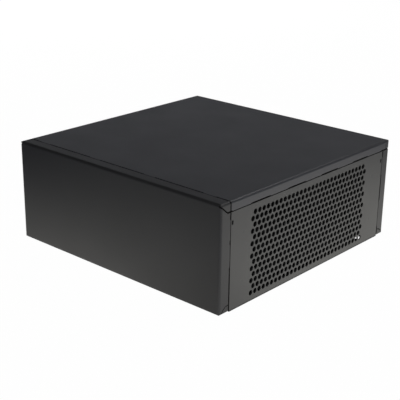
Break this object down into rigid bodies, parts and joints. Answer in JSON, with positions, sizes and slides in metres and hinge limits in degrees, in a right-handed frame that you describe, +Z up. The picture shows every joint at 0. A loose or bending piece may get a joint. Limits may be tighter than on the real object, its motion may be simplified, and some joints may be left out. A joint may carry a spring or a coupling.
{
  "type": "rack mount case",
  "caption": "Low square black sheet-steel equipment case: blank front, both sides punched with staggered round vent holes, and a blank plate in the rear opening for connectors.",
  "frame": {"origin": "middle of the underside", "axes": "+Z up, -Y the blank front, +X the right side as seen from the front"},
  "size_m": [0.221, 0.221, 0.086],
  "materials": {
    "powder_coat_base": "fine matt black powder coat on sheet steel",
    "powder_coat_sides": "fine matt black powder coat on sheet steel",
    "powder_coat_ends": "fine matt black powder coat on sheet steel",
    "powder_coat_cover": "fine matt black powder coat on sheet steel",
    "black_screws": "black zinc on turned steel",
    "zinc_plated": "bright zinc on turned steel"
  },
  "bodies": {
    "root": {"chassis_base": "powder_coat_base", "side_panel_right": "powder_coat_sides", "side_panel_left": "powder_coat_sides", "front_panel": "powder_coat_ends", "rear_panel": "powder_coat_ends", "top_cover": "powder_coat_cover", "front_panel_screws": "black_screws", "front_panel_nuts": "zinc_plated", "rear_panel_screws": "black_screws", "rear_panel_nuts": "zinc_plated", "cover_screws": "black_screws", "cover_nuts": "zinc_plated", "board_standoffs": "zinc_plated", "connector_plate": "powder_coat_ends"}
  },
  "joints": []
}
